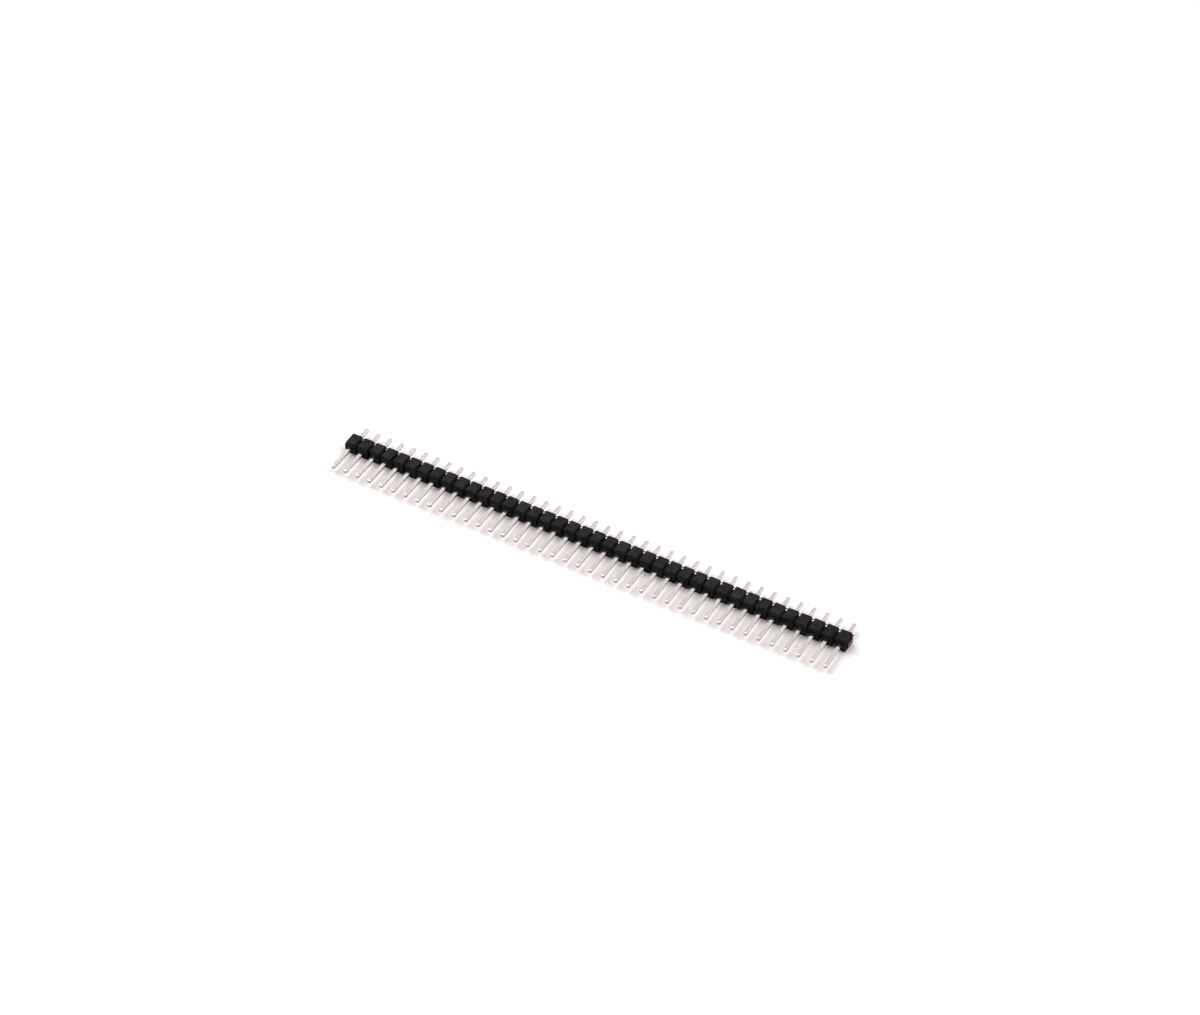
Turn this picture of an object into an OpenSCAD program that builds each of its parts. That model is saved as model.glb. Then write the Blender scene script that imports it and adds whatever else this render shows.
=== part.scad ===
// Break-away pin header strip, one row, straight square pins.
// It lies on its side, as it comes to rest: the row runs along X, the mating posts point to -Y,
// the solder tails to +Y, and the insulator rests on the plane z = 0.

/* [Row] */
// Number of contact positions
positions = 40; // [2:1:50]
// Distance from one pin to the next
pitch = 2.54; // [2:0.01:5.08]

/* [Insulator] */
// Size of the insulator along the pins
body_l = 2.54; // [2:0.01:9]
// Size of the insulator across the row, its height as it lies
body_h = 2.54; // [2:0.01:5]
// Width of a break slot
slot_w = 0.6; // [0.2:0.01:0.8]
// Depth of the break slots in the top face
top_slot_d = 0.75; // [0.1:0.01:0.9]
// Depth of the break slots in the bottom face
bottom_slot_d = 0.55; // [0.1:0.01:0.9]
// Depth of the break slots in the tail side
tail_slot_d = 0.25; // [0.1:0.01:1]
// Depth of the break slots in the post side
post_slot_d = 0.45; // [0.1:0.01:1]
// Thickness of the thin web across each break slot, near the tail side
web_t = 0.16; // [0.1:0.01:0.3]
// Distance from the top face down to the web
web_drop = 0.32; // [0.1:0.01:0.6]
// Distance from the tail side to the web
web_inset = 0.04; // [0:0.01:0.3]

/* [Pins] */
// Side of the square pin
pin_w = 0.64; // [0.4:0.01:0.9]
// Length of the mating post, from the insulator to its end
post_l = 5.84; // [2:0.01:20]
// Length of the solder tail, from the insulator to its end
tail_l = 3.05; // [1:0.01:10]
// Length of the taper at each end of a pin
tip_l = 0.5; // [0.1:0.01:0.9]
// Side of the blunt square that the taper ends in
tip_w = 0.3; // [0.1:0.01:0.38]
// Clearance round a pin in its hole, 0 for a pressed-in pin
pin_clearance = 0; // [0:0.01:0.1]

/* [Hidden] */
function pin_name(i) = str("pin_", i < 10 ? "0" : "", i);

// The origin is under the middle of the whole strip, posts and tails included
overall_l = post_l + body_l + tail_l;
post_end_y = -overall_l / 2;
post_side_y = post_end_y + post_l;
tail_side_y = post_side_y + body_l;
tail_end_y = tail_side_y + tail_l;
pin_z = body_h / 2;

// Junctions 0 and positions are the two ends of the row, and pin i stands between i - 1 and i
function junction_x(j) = (j - positions / 2) * pitch;
function pin_x(i) = (junction_x(i - 1) + junction_x(i)) / 2;

function reversed(points) = [for (k = [len(points) - 1 : -1 : 0]) points[k]];

// One long side of the row's outline, with a straight slot from the face down to the root at each
// junction, and half a slot at each end, where the strip was snapped off
half_row = positions * pitch / 2;
function slotted_side(face, root) = [
    for (j = [0 : positions], corner = [[-1, face], [-1, root], [1, root], [1, face]])
        if (corner[1] == root || (j + corner[0] >= 0 && j + corner[0] <= positions))
            [
                max(-half_row, min(half_row, junction_x(j) + corner[0] * slot_w / 2)),
                corner[1]
            ]
];

module row_outline(low_face, low_root, high_face, high_root) {
    polygon(concat(slotted_side(low_face, low_root), reversed(slotted_side(high_face, high_root))));
}

// The row as seen along the pins: slots in the bottom and the top face
module row_along_pins() {
    translate([0, tail_side_y, 0])
        rotate([90, 0, 0])
            linear_extrude(body_l)
                row_outline(0, bottom_slot_d, body_h, body_h - top_slot_d);
}

// The row as seen from above: slots in the post side and the tail side
module row_from_above() {
    linear_extrude(body_h)
        row_outline(
            post_side_y, post_side_y + post_slot_d,
            tail_side_y, tail_side_y - tail_slot_d
        );
}

// The thin web, seen in each slot and as a stub at each end
module web() {
    translate([-half_row, tail_side_y - web_inset - web_t, body_h - web_drop - web_t])
        cube([2 * half_row, web_t, web_t]);
}

// The square hole that holds a pin
module pin_hole(i) {
    hole_w = pin_w + 2 * pin_clearance;
    translate([pin_x(i), post_side_y + body_l / 2, pin_z])
        cube([hole_w, 2 * body_l, hole_w], center = true);
}

// One moulding: the two outlines crossed leave a small neck from each cell to the next
module insulator() {
    color("#2b2b2d")
        difference() {
            union() {
                intersection() {
                    row_along_pins();
                    row_from_above();
                }
                web();
            }
            for (i = [1 : positions]) pin_hole(i);
        }
}

// A pin's outline from one side: straight, with a taper to a blunt end at each tip
module pin_outline() {
    polygon([
        [-tip_w / 2, post_end_y],
        [tip_w / 2, post_end_y],
        [pin_w / 2, post_end_y + tip_l],
        [pin_w / 2, tail_end_y - tip_l],
        [tip_w / 2, tail_end_y],
        [-tip_w / 2, tail_end_y],
        [-pin_w / 2, tail_end_y - tip_l],
        [-pin_w / 2, post_end_y + tip_l]
    ]);
}

// The same outline from above and from the side gives each tip its four facets
module pin(i) {
    color("#cfc9c2")
        translate([pin_x(i), 0, pin_z])
            intersection() {
                linear_extrude(pin_w, center = true) pin_outline();
                rotate([0, 90, 0]) linear_extrude(pin_w, center = true) pin_outline();
            }
}

insulator();
for (i = [1 : positions])
    pin(i);
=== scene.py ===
import math

import bmesh
import bpy
from mathutils import Matrix, Vector, noise


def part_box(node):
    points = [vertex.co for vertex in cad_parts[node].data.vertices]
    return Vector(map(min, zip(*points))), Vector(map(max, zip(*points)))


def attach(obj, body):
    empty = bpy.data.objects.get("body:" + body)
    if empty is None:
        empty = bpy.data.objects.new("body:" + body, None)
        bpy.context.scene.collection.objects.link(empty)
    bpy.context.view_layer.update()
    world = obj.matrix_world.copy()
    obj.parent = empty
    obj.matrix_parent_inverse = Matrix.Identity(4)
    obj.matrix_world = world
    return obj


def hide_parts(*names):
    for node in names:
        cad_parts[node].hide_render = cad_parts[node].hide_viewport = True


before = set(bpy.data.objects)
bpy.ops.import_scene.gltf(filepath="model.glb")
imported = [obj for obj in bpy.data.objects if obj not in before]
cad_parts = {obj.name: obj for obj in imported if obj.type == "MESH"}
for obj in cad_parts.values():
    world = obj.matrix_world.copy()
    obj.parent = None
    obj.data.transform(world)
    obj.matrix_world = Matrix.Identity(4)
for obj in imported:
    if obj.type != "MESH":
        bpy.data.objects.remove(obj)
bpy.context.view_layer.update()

mm = 0.001  # the scene is in metres, and the sizes in the dictionaries are in millimetres
samePlace = 0.001 * mm  # points closer than this are one point

# the row as the CAD gives it: every place below is worked out from these
pinNames = sorted(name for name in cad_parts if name.startswith("pin_"))
bodyLow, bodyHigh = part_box("insulator")
pinLow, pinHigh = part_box(pinNames[0])
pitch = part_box(pinNames[1])[0].x - pinLow.x
pinSide = pinHigh.x - pinLow.x
firstPin = (pinLow + pinHigh) / 2
bodyMiddle = (bodyLow + bodyHigh) / 2


def linearColour(hexColour):  # sRGB hex to the linear RGBA of a colour socket
    parts = [int(hexColour[k:k + 2], 16) / 255 for k in (1, 3, 5)]
    return [p / 12.92 if p <= 0.04045 else ((p + 0.055) / 1.055) ** 2.4 for p in parts] + [1.0]


def perMetre(repeat):  # texture scale at which a pattern repeats about every so many millimetres
    return 1 / (repeat * mm)


def spreadOver(valueRange):  # the inputs of a Map Range node for a lowest and a highest value
    return {"From Min": valueRange[0], "From Max": valueRange[1]}


def addNode(tree, kind, inputs=None, **settings):  # inputs: socket name or index to a value or a socket
    node = tree.nodes.new(kind)
    for name, value in settings.items():
        setattr(node, name, value)
    for name, value in (inputs or {}).items():
        if isinstance(value, bpy.types.NodeSocket):
            tree.links.new(value, node.inputs[name])
        else:
            node.inputs[name].default_value = value
    return node


def newMaterial(name):  # an empty node material and its shader
    material = bpy.data.materials.new(name)
    material.use_nodes = True
    tree = material.node_tree
    tree.nodes.clear()
    shader = addNode(tree, "ShaderNodeBsdfPrincipled")
    addNode(tree, "ShaderNodeOutputMaterial", {"Surface": shader.outputs["BSDF"]})
    return material, tree, shader


def newObject(name, data):
    made = bpy.data.objects.new(name, data)
    bpy.context.scene.collection.objects.link(made)
    return made


def newTree(name, sockets):  # a Geometry Nodes tree and its inputs, named with their socket types
    tree = bpy.data.node_groups.new(name, "GeometryNodeTree")
    tree.interface.new_socket("Geometry", in_out="OUTPUT", socket_type="NodeSocketGeometry")
    tree.interface.new_socket("Geometry", in_out="INPUT", socket_type="NodeSocketGeometry")
    for socketName, kind in sockets.items():
        tree.interface.new_socket(socketName, in_out="INPUT", socket_type="NodeSocket" + kind)
    return tree, addNode(tree, "NodeGroupInput").outputs


def grownPiece(name, seedMesh, tree, values):  # runs the tree on the seed mesh and keeps a plain mesh
    seed = newObject(name + "Seed", seedMesh)
    modifier = seed.modifiers.new(tree.name, "NODES")
    modifier.node_group = tree
    for item in tree.interface.items_tree:
        if item.in_out == "INPUT" and item.name in values:
            modifier[item.identifier] = values[item.name]
    depsgraph = bpy.context.evaluated_depsgraph_get()
    mesh = bpy.data.meshes.new_from_object(seed.evaluated_get(depsgraph))
    mesh.name = name
    bpy.data.objects.remove(seed)
    return newObject(name, mesh)


def setMaterials(piece, main, cut, isCut=lambda face: False):  # main all over, cut where isCut is true
    piece.data.materials.clear()
    for material in (main, cut):
        piece.data.materials.append(material)
    for polygon in piece.data.polygons:
        polygon.material_index = int(isCut(polygon))


def roundEdges(piece, radius, steps, **settings):
    bevel = piece.modifiers.new("rounded edges", "BEVEL")
    bevel.width = radius * mm
    bevel.segments = steps
    bevel.harden_normals = True
    for name, value in settings.items():
        setattr(bevel, name, value)


# Black glass-filled nylon, moulded against a spark-eroded tool: an even matt black whose fine
# grain turns glancing light into a soft sheen and never into a mirror.
mouldedNylonSpec = {
    "deep": "#121213",
    "paintedGlints": "#2d2d30",  # the high spots of the grain, painted lighter as the glints of light off them
    "grain": 0.2,  # mm, spark-eroded grain, drawn about four times as coarse as real to show
    "grainHeight": 0.012,  # mm
    "paintedGlintRange": (0.15, 0.38),  # grain times flow marks, from deep to the painted glints
    "mottle": 1.6,  # mm, flow marks of the moulding
    "mottleRange": (0.3, 0.7),  # flow marks, from the lowest to the highest roughness
    "roughness": (0.48, 0.64),
    "specular": 0.05,
    "ior": 1.53,  # nylon
}


def mouldedNylon(spec=mouldedNylonSpec):
    material, tree, shader = newMaterial("mouldedNylon")
    place = addNode(tree, "ShaderNodeTexCoord").outputs["Object"]
    grain = addNode(tree, "ShaderNodeTexNoise", {
        "Vector": place, "Scale": perMetre(spec["grain"]), "Detail": 3.0, "Roughness": 0.6})
    mottle = addNode(tree, "ShaderNodeTexNoise", {
        "Vector": place, "Scale": perMetre(spec["mottle"]), "Detail": 2.0})
    blend = addNode(tree, "ShaderNodeMath", {
        0: grain.outputs["Fac"], 1: mottle.outputs["Fac"]}, operation="MULTIPLY")
    spread = addNode(tree, "ShaderNodeMapRange", {
        "Value": blend.outputs[0], **spreadOver(spec["paintedGlintRange"])})
    # the lighter colour of this mix is painted glints on the high spots of the grain
    colour = addNode(tree, "ShaderNodeMix", {  # 0 is the factor, 6 and 7 are the two colours
        0: spread.outputs[0], 6: linearColour(spec["deep"]), 7: linearColour(spec["paintedGlints"])},
        data_type="RGBA")
    rough = addNode(tree, "ShaderNodeMapRange", {
        "Value": mottle.outputs["Fac"], **spreadOver(spec["mottleRange"]),
        "To Min": spec["roughness"][0], "To Max": spec["roughness"][1]})
    bump = addNode(tree, "ShaderNodeBump", {
        "Height": grain.outputs["Fac"], "Distance": spec["grainHeight"] * mm, "Strength": 1.0})
    tree.links.new(colour.outputs[2], shader.inputs["Base Color"])
    tree.links.new(rough.outputs[0], shader.inputs["Roughness"])
    tree.links.new(bump.outputs["Normal"], shader.inputs["Normal"])
    shader.inputs["Specular IOR Level"].default_value = spec["specular"]
    shader.inputs["IOR"].default_value = spec["ior"]
    return material


# The same nylon where the strip was snapped off: glass fibres stand out of a torn face, and the
# stressed plastic has gone pale.
snappedNylonSpec = {
    "torn": "#343333",
    "fibres": "#918e89",
    "fibreWidth": 0.06,  # mm, bundles of fibres: single ones are too fine to show
    "fibreRange": (0.42, 0.66),  # from torn plastic to fibres
    "roughness": 0.85,
    "height": 0.02,  # mm
}


def snappedNylon(spec=snappedNylonSpec):
    material, tree, shader = newMaterial("snappedNylon")
    place = addNode(tree, "ShaderNodeTexCoord").outputs["Object"]
    fibres = addNode(tree, "ShaderNodeTexNoise", {
        "Vector": place, "Scale": perMetre(2 * spec["fibreWidth"]),  # a bundle and its gap
        "Detail": 4.0, "Roughness": 0.7})
    spread = addNode(tree, "ShaderNodeMapRange", {
        "Value": fibres.outputs["Fac"], **spreadOver(spec["fibreRange"])})
    colour = addNode(tree, "ShaderNodeMix", {
        0: spread.outputs[0], 6: linearColour(spec["torn"]), 7: linearColour(spec["fibres"])},
        data_type="RGBA")
    bump = addNode(tree, "ShaderNodeBump", {
        "Height": fibres.outputs["Fac"], "Distance": spec["height"] * mm, "Strength": 1.0})
    tree.links.new(colour.outputs[2], shader.inputs["Base Color"])
    tree.links.new(bump.outputs["Normal"], shader.inputs["Normal"])
    shader.inputs["Roughness"].default_value = spec["roughness"]
    return material


# Brass wire, drawn square and tin plated: a bright warm-white metal, a little satin, with faint
# lines from the drawing die along its length. No two pins took the plating quite alike.
tinPlatedWireSpec = {
    "bright": "#dad2cf",
    "dull": "#c7bfbb",
    "drawLine": 0.07,  # mm across a drawing line
    "drawLength": 2.5,  # mm along it
    "lineHeight": 0.0012,  # mm
    "dullRange": (0.35, 1.65),  # drawing line plus the pin's own tone, from bright to dull
    "roughness": (0.1, 0.19),
}


def tinPlatedWire(spec=tinPlatedWireSpec):
    material, tree, shader = newMaterial("tinPlatedWire")
    place = addNode(tree, "ShaderNodeTexCoord").outputs["Object"]
    lengthwise = addNode(tree, "ShaderNodeMapping", {
        "Vector": place, "Scale": (1.0, spec["drawLine"] / spec["drawLength"], 1.0)})
    lines = addNode(tree, "ShaderNodeTexNoise", {
        "Vector": lengthwise.outputs[0], "Scale": perMetre(2 * spec["drawLine"]),  # a line and its gap
        "Detail": 2.0})
    tone = addNode(tree, "ShaderNodeAttribute", attribute_name="pinTone")
    blend = addNode(tree, "ShaderNodeMath", {
        0: lines.outputs["Fac"], 1: tone.outputs["Fac"]}, operation="ADD")
    spread = addNode(tree, "ShaderNodeMapRange", {
        "Value": blend.outputs[0], **spreadOver(spec["dullRange"])})
    colour = addNode(tree, "ShaderNodeMix", {
        0: spread.outputs[0], 6: linearColour(spec["bright"]), 7: linearColour(spec["dull"])},
        data_type="RGBA")
    rough = addNode(tree, "ShaderNodeMapRange", {
        "Value": blend.outputs[0], **spreadOver(spec["dullRange"]),
        "To Min": spec["roughness"][0], "To Max": spec["roughness"][1]})
    bump = addNode(tree, "ShaderNodeBump", {
        "Height": lines.outputs["Fac"], "Distance": spec["lineHeight"] * mm, "Strength": 1.0})
    tree.links.new(colour.outputs[2], shader.inputs["Base Color"])
    tree.links.new(rough.outputs[0], shader.inputs["Roughness"])
    tree.links.new(bump.outputs["Normal"], shader.inputs["Normal"])
    shader.inputs["Metallic"].default_value = 1.0
    return material


# The ends of the wire, sheared and pressed to a taper: that smears the plating over bare brass, so
# they are duller, rougher and a little yellower than the sides.
shearedWireSpec = {
    "smeared": "#bfb8b0",
    "bare": "#9c9288",
    "tearing": 0.12,  # mm across a smear
    "tearRange": (0.4, 0.65),  # from smeared plating to bare brass
    "roughness": 0.45,
    "height": 0.006,  # mm
}


def shearedWire(spec=shearedWireSpec):
    material, tree, shader = newMaterial("shearedWire")
    place = addNode(tree, "ShaderNodeTexCoord").outputs["Object"]
    tearing = addNode(tree, "ShaderNodeTexNoise", {
        "Vector": place, "Scale": perMetre(2 * spec["tearing"]),  # a smear and its gap
        "Detail": 3.0})
    spread = addNode(tree, "ShaderNodeMapRange", {
        "Value": tearing.outputs["Fac"], **spreadOver(spec["tearRange"])})
    colour = addNode(tree, "ShaderNodeMix", {
        0: spread.outputs[0], 6: linearColour(spec["smeared"]), 7: linearColour(spec["bare"])},
        data_type="RGBA")
    bump = addNode(tree, "ShaderNodeBump", {
        "Height": tearing.outputs["Fac"], "Distance": spec["height"] * mm, "Strength": 1.0})
    tree.links.new(colour.outputs[2], shader.inputs["Base Color"])
    tree.links.new(bump.outputs["Normal"], shader.inputs["Normal"])
    shader.inputs["Metallic"].default_value = 1.0
    shader.inputs["Roughness"].default_value = spec["roughness"]
    return material


# The insulator: one moulded cell, repeated along the row and welded at the necks
insulatorSpec = {
    "slotWidth": 0.6,  # of a break slot, along the row
    "topSlot": 0.75,  # its depth in the top face
    "bottomSlot": 0.55,
    "tailSlot": 0.25,
    "postSlot": 0.45,
    "webDrop": 0.32,  # from the top face down to the thin web across a slot
    "webInset": 0.04,  # from the tail side to the web
    "webThickness": 0.16,
    "stubThickness": 0.3,  # of what is left of the web at the ends, where it was squashed and torn
    "lumpSize": (0.3, 0.5, 1.4),  # what is left standing in the slot of the post side at the left end
    "lumpHeight": 0.45,  # from the table up to it
    "lumpInset": (0.01, 0.02),  # from the end of the row, and from the post side
    "rooted": 0.05,  # how far a web or the lump goes into a cell
    "holeGap": 0.01,  # round each pin
    "edgeRadius": 0.05,
    "edgeSteps": 2,
    "sharpAngle": 10,  # degrees that an edge turns by, past which it is rounded
    "tearRings": 6,  # rings of a snapped face, from its rim to its middle
    "tearPoints": 6,  # points along each side of its rim
    "tearDepth": 0.2,
    "tearLump": 0.3,
}


def neckCorners(spec=insulatorSpec):  # lowest and highest corner of the neck from cell to cell
    low = Vector((0, bodyLow.y + spec["postSlot"] * mm, bodyLow.z + spec["bottomSlot"] * mm))
    high = Vector((0, bodyHigh.y - spec["tailSlot"] * mm, bodyHigh.z - spec["topSlot"] * mm))
    return low, high


def squareRing(bm, x, low, high):  # four points round the cell, from the post side of the bottom
    sides = ((low.y, low.z), (high.y, low.z), (high.y, high.z), (low.y, high.z))
    return [bm.verts.new((x, y, z)) for y, z in sides]


def joinRings(bm, a, b, skip=()):  # a face from each side of one ring to that of the next
    for k in range(len(a)):
        if k not in skip:
            j = (k + 1) % len(a)
            bm.faces.new((a[k], a[j], b[j], b[k]))


def pinRing(bm, y, half):  # a square round the pin
    corners = ((-half, -half), (-half, half), (half, half), (half, -half))
    return [bm.verts.new((x, y, firstPin.z + z)) for x, z in corners]


def cellMesh(spec=insulatorSpec):  # a cell with its middle at x = 0, open at both necks
    bm = bmesh.new()
    neckX = pitch / 2
    lipX = neckX - spec["slotWidth"] * mm / 2
    necks = [squareRing(bm, x, *neckCorners()) for x in (-neckX, neckX)]
    roots = [squareRing(bm, x, *neckCorners()) for x in (-lipX, lipX)]
    lips = [squareRing(bm, x, bodyLow, bodyHigh) for x in (-lipX, lipX)]
    tailSide, postSide = 1, 3  # places in a ring of the two sides that the pin passes through
    for neck, root, lip in zip(necks, roots, lips):
        joinRings(bm, neck, root)
        joinRings(bm, root, lip)
    joinRings(bm, lips[0], lips[1], skip=(tailSide, postSide))
    hole = pinSide / 2 + spec["holeGap"] * mm
    postRim = [lips[0][0], lips[0][3], lips[1][3], lips[1][0]]
    tailRim = [lips[0][1], lips[0][2], lips[1][2], lips[1][1]]
    rings = [
        postRim, pinRing(bm, bodyLow.y, hole), pinRing(bm, bodyHigh.y, hole), tailRim]
    for outer, inner in zip(rings, rings[1:]):
        joinRings(bm, outer, inner)
    mesh = bpy.data.meshes.new("cell")
    bm.to_mesh(mesh)
    bm.free()
    return mesh


def mouldedRowTree():  # cells along X, welded where their necks meet
    tree, given = newTree("moulded row", {
        "Cells": "Int", "Pitch": "Float", "First Cell": "Float", "Weld": "Float",
        "Plastic": "Material"})
    start = addNode(tree, "ShaderNodeCombineXYZ", {"X": given["First Cell"]})
    step = addNode(tree, "ShaderNodeCombineXYZ", {"X": given["Pitch"]})
    places = addNode(tree, "GeometryNodeMeshLine", {
        "Count": given["Cells"], "Start Location": start.outputs[0], "Offset": step.outputs[0]})
    cells = addNode(tree, "GeometryNodeInstanceOnPoints", {
        "Points": places.outputs[0], "Instance": given["Geometry"]})
    real = addNode(tree, "GeometryNodeRealizeInstances", {"Geometry": cells.outputs[0]})
    weld = addNode(tree, "GeometryNodeMergeByDistance", {
        "Geometry": real.outputs[0], "Distance": given["Weld"]})
    finish = addNode(tree, "GeometryNodeSetMaterial", {
        "Geometry": weld.outputs[0], "Material": given["Plastic"]})
    addNode(tree, "NodeGroupOutput", {"Geometry": finish.outputs[0]})
    return tree


def tearNeck(bm, end, spec=insulatorSpec):  # closes the open neck at x = end, torn inwards only
    low, high = neckCorners()
    middle = (low + high) / 2 + Vector((end, 0, 0))
    corners = [v for v in bm.verts if abs(v.co.x - end) < samePlace]
    corners.sort(key=lambda v: math.atan2(v.co.z - middle.z, v.co.y - middle.y))
    rim = []
    for corner, last in zip(corners, corners[1:] + corners[:1]):
        point = corner
        for remaining in range(spec["tearPoints"], 1, -1):
            rim.append(point)
            point = bmesh.utils.edge_split(bm.edges.get((point, last)), point, 1 / remaining)[1]
        rim.append(point)
    rings = [rim]
    for n in range(1, spec["tearRings"]):
        ring = []
        for v in rim:
            place = v.co.lerp(middle, n / spec["tearRings"])
            share = (1 + noise.noise(place / (spec["tearLump"] * mm))) / 2  # from 0 to 1
            depth = share * spec["tearDepth"] * mm
            ring.append(bm.verts.new(place - Vector((math.copysign(depth, end), 0, 0))))
        rings.append(ring)
    before = set(bm.faces)
    for outer, inner in zip(rings, rings[1:]):
        joinRings(bm, outer, inner)
    bm.faces.new(rings[-1])
    for face in set(bm.faces) - before:
        face.material_index = 1


def addBar(bm, start, end, low, high):  # makes a closed bar along the row and returns its end faces
    ends = [squareRing(bm, start, low, high), squareRing(bm, end, low, high)]
    joinRings(bm, *ends)
    return [bm.faces.new(ring) for ring in ends]


def addLump(bm, spec=insulatorSpec):  # stands in the half slot at the left end, torn at its outer end
    size = Vector(spec["lumpSize"]) * mm
    fromEnd, fromSide = spec["lumpInset"]
    low = Vector((0, bodyLow.y + fromSide * mm, bodyLow.z + spec["lumpHeight"] * mm))
    root = bodyLow.x + size.x + spec["rooted"] * mm
    outerEnd = addBar(bm, bodyLow.x + fromEnd * mm, root, low, low + size)[0]
    outerEnd.material_index = 1


def addWebs(bm, spec=insulatorSpec):  # the thin web across each slot, and its stubs at the ends
    reach = (spec["slotWidth"] / 2 + spec["rooted"]) * mm
    for n in range(len(pinNames) + 1):
        x = bodyLow.x + n * pitch
        side = spec["stubThickness" if n in (0, len(pinNames)) else "webThickness"] * mm
        high = Vector((0, bodyHigh.y - spec["webInset"] * mm, bodyHigh.z - spec["webDrop"] * mm))
        low = high - Vector((0, side, side))
        addBar(bm, max(bodyLow.x, x - reach), min(bodyHigh.x, x + reach), low, high)


def markRoundedEdges(bm, spec=insulatorSpec):  # the convex moulded edges, not slot roots or torn faces
    weight = bm.edges.layers.float.new("bevel_weight_edge")
    sharp = math.radians(spec["sharpAngle"])
    for edge in bm.edges:
        moulded = all(face.material_index == 0 for face in edge.link_faces)
        if moulded and edge.is_convex and edge.calc_face_angle() > sharp:
            edge[weight] = 1.0


def makeInsulator(spec=insulatorSpec):
    piece = grownPiece("insulatorMoulding", cellMesh(), mouldedRowTree(), {
        "Cells": len(pinNames), "Pitch": pitch, "First Cell": firstPin.x, "Weld": samePlace,
        "Plastic": mouldedNylon()})
    setMaterials(piece, piece.data.materials[-1], snappedNylon())
    bm = bmesh.new()
    bm.from_mesh(piece.data)
    for end in (bodyLow.x, bodyHigh.x):
        tearNeck(bm, end)
    addLump(bm)
    addWebs(bm)
    bmesh.ops.recalc_face_normals(bm, faces=bm.faces)
    markRoundedEdges(bm)
    for face in bm.faces:
        face.smooth = face.material_index == 0
    bm.to_mesh(piece.data)
    bm.free()
    roundEdges(piece, spec["edgeRadius"], spec["edgeSteps"], limit_method="WEIGHT")
    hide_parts("insulator")
    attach(piece, "root")


# The pins: a square section swept along one pin, repeated along the row
pinSpec = {
    "taper": 0.2,  # length of the pointed part
    "blunt": 0.56,  # side of the flat at its end
    "endGap": 0.005,  # from an end of the pin to the end of its space, for the lean
    "edgeRadius": 0.03,
    "edgeSteps": 2,
    "sharpAngle": 6,  # degrees, less than the slope of the pointed part
    "lean": 0.25,  # degrees, the most that a pressed-in pin stands off square
    "seed": 11,
}


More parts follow.
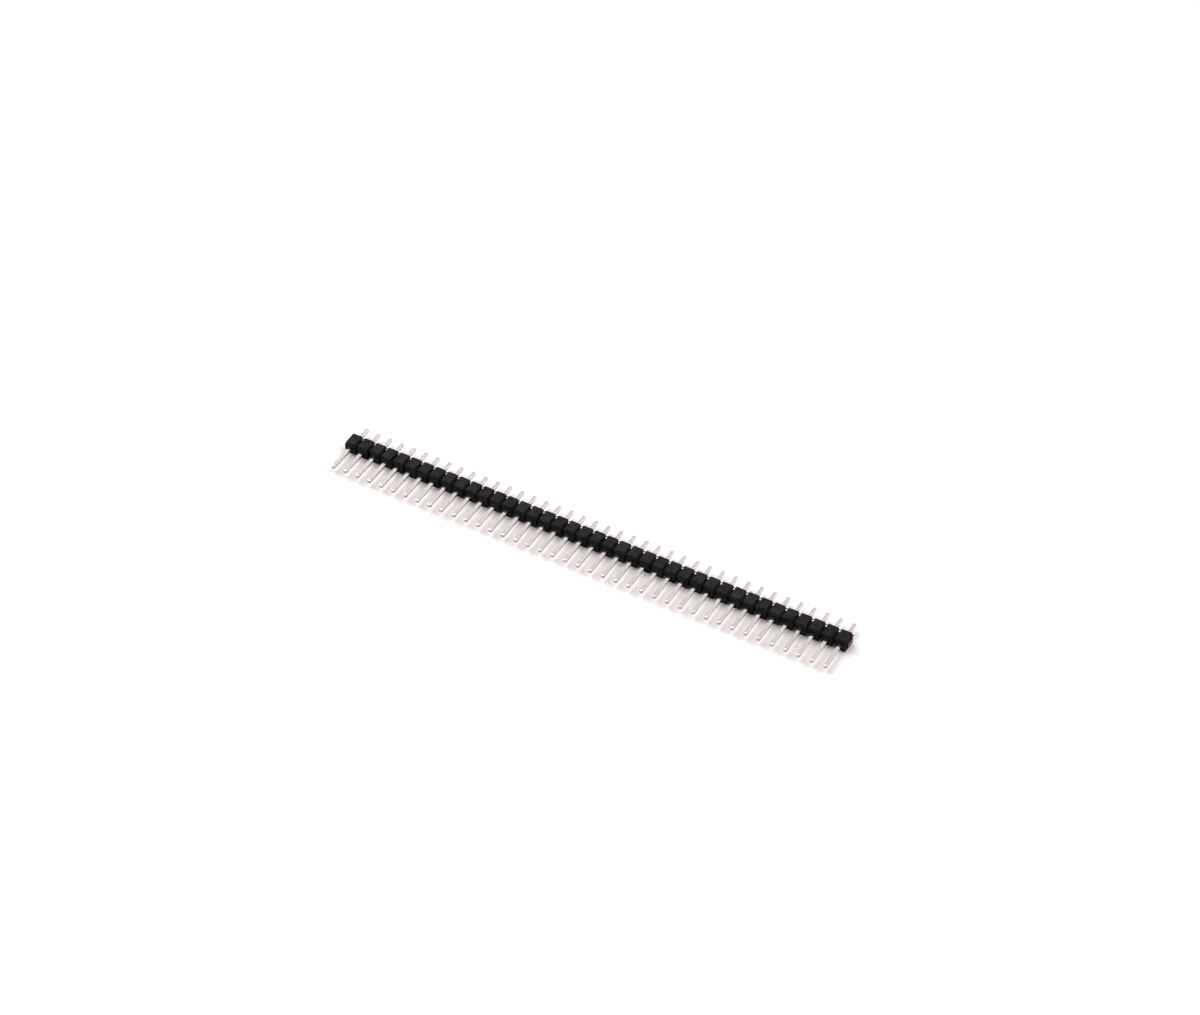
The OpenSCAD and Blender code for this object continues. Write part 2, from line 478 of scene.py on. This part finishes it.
def pinRowTree():  # pins along X, each with a tapered end on both sides
    tree, given = newTree("pins in a row", {
        "Pins": "Int", "Pitch": "Float", "First Pin": "Vector", "Side": "Float", "Post End": "Float",
        "Tail End": "Float", "Taper": "Float", "Blunt": "Float", "Lean": "Float", "Seed": "Int",
        "Metal": "Material"})
    postEnd = addNode(tree, "ShaderNodeCombineXYZ", {"Y": given["Post End"]})
    tailEnd = addNode(tree, "ShaderNodeCombineXYZ", {"Y": given["Tail End"]})
    line = addNode(tree, "GeometryNodeCurvePrimitiveLine", {
        "Start": postEnd.outputs[0], "End": tailEnd.outputs[0]})
    lastPoint = 3  # four points: an end, the two places where a taper starts, and the other end
    path = addNode(tree, "GeometryNodeResampleCurve", {"Curve": line.outputs[0], "Count": lastPoint + 1})
    index = addNode(tree, "GeometryNodeInputIndex").outputs[0]
    onTail = addNode(tree, "ShaderNodeMath", {0: index, 1: lastPoint / 2}, operation="GREATER_THAN")
    fromTail = addNode(tree, "ShaderNodeMath", {0: lastPoint, 1: index}, operation="SUBTRACT")
    shoulder = addNode(tree, "ShaderNodeMath", {  # 0 at an end of the pin, 1 where its taper starts
        0: index, 1: fromTail.outputs[0]}, operation="MINIMUM")
    fromPost = addNode(tree, "ShaderNodeMath", {
        0: shoulder.outputs[0], 1: given["Taper"], 2: given["Post End"]}, operation="MULTIPLY_ADD")
    back = addNode(tree, "ShaderNodeMath", {
        0: shoulder.outputs[0], 1: given["Taper"]}, operation="MULTIPLY")
    fromTailEnd = addNode(tree, "ShaderNodeMath", {
        0: given["Tail End"], 1: back.outputs[0]}, operation="SUBTRACT")
    along = addNode(tree, "ShaderNodeMapRange", {
        "Value": onTail.outputs[0], "To Min": fromPost.outputs[0], "To Max": fromTailEnd.outputs[0]})
    place = addNode(tree, "ShaderNodeCombineXYZ", {"Y": along.outputs[0]})
    placed = addNode(tree, "GeometryNodeSetPosition", {
        "Geometry": path.outputs[0], "Position": place.outputs[0]})
    bluntShare = addNode(tree, "ShaderNodeMath", {
        0: given["Blunt"], 1: given["Side"]}, operation="DIVIDE")
    width = addNode(tree, "ShaderNodeMapRange", {
        "Value": shoulder.outputs[0], "To Min": bluntShare.outputs[0], "To Max": 1.0})
    section = addNode(tree, "GeometryNodeCurvePrimitiveQuadrilateral", {
        "Width": given["Side"], "Height": given["Side"]})
    pin = addNode(tree, "GeometryNodeCurveToMesh", {
        "Curve": placed.outputs[0], "Profile Curve": section.outputs[0],
        "Scale": width.outputs[0], "Fill Caps": True})
    step = addNode(tree, "ShaderNodeCombineXYZ", {"X": given["Pitch"]})
    places = addNode(tree, "GeometryNodeMeshLine", {
        "Count": given["Pins"], "Start Location": given["First Pin"], "Offset": step.outputs[0]})
    most = addNode(tree, "ShaderNodeCombineXYZ", {"X": given["Lean"], "Z": given["Lean"]})
    least = addNode(tree, "ShaderNodeVectorMath", {
        0: most.outputs[0], "Scale": -1.0}, operation="SCALE")
    lean = addNode(tree, "FunctionNodeRandomValue", {
        0: least.outputs[0], 1: most.outputs[0], "Seed": given["Seed"]}, data_type="FLOAT_VECTOR")
    turn = addNode(tree, "FunctionNodeEulerToRotation", {"Euler": lean.outputs[0]})
    pins = addNode(tree, "GeometryNodeInstanceOnPoints", {
        "Points": places.outputs[0], "Instance": pin.outputs[0], "Rotation": turn.outputs[0]})
    tone = addNode(tree, "FunctionNodeRandomValue", {"Seed": given["Seed"]}, data_type="FLOAT")
    toned = addNode(tree, "GeometryNodeStoreNamedAttribute", {
        "Geometry": pins.outputs[0], "Name": "pinTone", "Value": tone.outputs[1]},
        data_type="FLOAT", domain="INSTANCE")
    real = addNode(tree, "GeometryNodeRealizeInstances", {"Geometry": toned.outputs[0]})
    finish = addNode(tree, "GeometryNodeSetMaterial", {
        "Geometry": real.outputs[0], "Material": given["Metal"]})
    addNode(tree, "NodeGroupOutput", {"Geometry": finish.outputs[0]})
    return tree


def makePins(spec=pinSpec):
    held = Vector((firstPin.x, bodyMiddle.y, firstPin.z))  # a pin leans about the place that holds it
    piece = grownPiece("platedPins", bpy.data.meshes.new("pinSeed"), pinRowTree(), {
        "Pins": len(pinNames), "Pitch": pitch, "First Pin": held, "Side": pinSide,
        "Post End": pinLow.y - held.y + spec["endGap"] * mm,
        "Tail End": pinHigh.y - held.y - spec["endGap"] * mm,
        "Taper": spec["taper"] * mm, "Blunt": spec["blunt"] * mm,
        "Lean": math.radians(spec["lean"]), "Seed": spec["seed"], "Metal": tinPlatedWire()})
    sharp = math.radians(spec["sharpAngle"])
    setMaterials(piece, piece.data.materials[-1], shearedWire(),
                 lambda face: abs(face.normal.y) > math.sin(sharp))  # the flats and the tapers
    piece.data.shade_smooth()
    roundEdges(piece, spec["edgeRadius"], spec["edgeSteps"], angle_limit=sharp)
    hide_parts(*pinNames)
    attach(piece, "root")


# The floor: white card, which clips to white away from the shadows
floorSpec = {
    "size": 3000,
    "colour": "#faf5f6",
    "roughness": 0.9,
    "lift": 0.02,  # light of its own, to the eye and in reflections only
}


def makeFloor(spec=floorSpec):
    half = spec["size"] * mm / 2
    mesh = bpy.data.meshes.new("floor")
    mesh.from_pydata([(x * half, y * half, 0) for x, y in ((-1, -1), (1, -1), (1, 1), (-1, 1))],
                     [], [(0, 1, 2, 3)])
    material, tree, shader = newMaterial("whiteCard")
    rays = addNode(tree, "ShaderNodeLightPath").outputs
    seen = addNode(tree, "ShaderNodeMath", {
        0: rays["Is Camera Ray"], 1: rays["Is Glossy Ray"]}, operation="MAXIMUM")
    lift = addNode(tree, "ShaderNodeMath", {0: seen.outputs[0], 1: spec["lift"]}, operation="MULTIPLY")
    tree.links.new(lift.outputs[0], shader.inputs["Emission Strength"])
    shader.inputs["Emission Color"].default_value = (1, 1, 1, 1)
    shader.inputs["Base Color"].default_value = linearColour(spec["colour"])
    shader.inputs["Roughness"].default_value = spec["roughness"]
    shader.inputs["Specular IOR Level"].default_value = 0.0
    mesh.materials.append(material)
    newObject("floor", mesh)


def towards(azimuth, elevation):  # degrees, from straight in front of the posts round to the right
    a, e = math.radians(azimuth), math.radians(elevation)
    return Vector((math.sin(a) * math.cos(e), -math.cos(a) * math.cos(e), math.sin(e)))


# The light: a white tent, bright to the eye and in reflections and dim as a lamp, with a round
# softbox on the left and another behind on the right
lightSpec = {
    "tent": 0.02,  # what the tent gives to the surfaces
    "distance": 2000,
    "lamps": {
        "leftBox": {"azimuth": -101, "elevation": 57.5, "size": 1950, "watts": 38.2},
        "backBox": {"azimuth": 127, "elevation": 52.5, "size": 1850, "watts": 28.4},
    },
}


def makeLight(spec=lightSpec):
    world = bpy.data.worlds.new("tent")
    world.use_nodes = True
    bpy.context.scene.world = world
    tree = world.node_tree
    tree.nodes.clear()
    rays = addNode(tree, "ShaderNodeLightPath").outputs
    mirrored = addNode(tree, "ShaderNodeMath", {
        0: rays["Is Glossy Ray"], 1: rays["Is Transmission Ray"]}, operation="MAXIMUM")
    seen = addNode(tree, "ShaderNodeMath", {
        0: rays["Is Camera Ray"], 1: mirrored.outputs[0]}, operation="MAXIMUM")
    strength = addNode(tree, "ShaderNodeMapRange", {
        "Value": seen.outputs[0], "To Min": spec["tent"], "To Max": 1.0})
    background = addNode(tree, "ShaderNodeBackground", {
        "Color": (1, 1, 1, 1), "Strength": strength.outputs[0]})
    addNode(tree, "ShaderNodeOutputWorld", {"Surface": background.outputs[0]})
    for name, lampSpec in spec["lamps"].items():
        lamp = bpy.data.lights.new(name, "AREA")
        lamp.shape = "DISK"
        lamp.size = lampSpec["size"] * mm
        lamp.energy = lampSpec["watts"]
        toLamp = towards(lampSpec["azimuth"], lampSpec["elevation"])
        placed = newObject(name, lamp)
        placed.location = toLamp * spec["distance"] * mm
        placed.rotation_euler = toLamp.to_track_quat("Z", "Y").to_euler()


# The camera: to the right of the posts and above them, looking down on the strip
cameraSpec = {
    "azimuth": 29.96,
    "elevation": 43.5,
    "distance": 546.6,
    "focalLength": 93.66,
    "sensorWidth": 36,
    "clip": (10, 10000),  # nearest and farthest that it sees
    "aim": (-0.1, 4.68, 6.19),  # from the middle of the strip, on the floor
}


def makeCamera(spec=cameraSpec):
    back = towards(spec["azimuth"], spec["elevation"])
    right = Vector((0, 0, 1)).cross(back).normalized()
    up = back.cross(right)
    data = bpy.data.cameras.new("camera")
    data.sensor_width = spec["sensorWidth"]
    data.lens = spec["focalLength"]
    data.clip_start = spec["clip"][0] * mm
    data.clip_end = spec["clip"][1] * mm
    camera = newObject("camera", data)
    spot = (Vector(spec["aim"]) + back * spec["distance"]) * mm
    camera.matrix_world = Matrix.Translation(spot) @ Matrix((right, up, back)).transposed().to_4x4()
    bpy.context.scene.camera = camera


bpy.context.scene.view_settings.view_transform = "Standard"
makeCamera()
makeLight()
makeFloor()
print("camera, lights and floor made")
makeInsulator()
print("insulator moulded, with", len(pinNames), "cells")
makePins()
print("pins drawn, plated and pressed in")
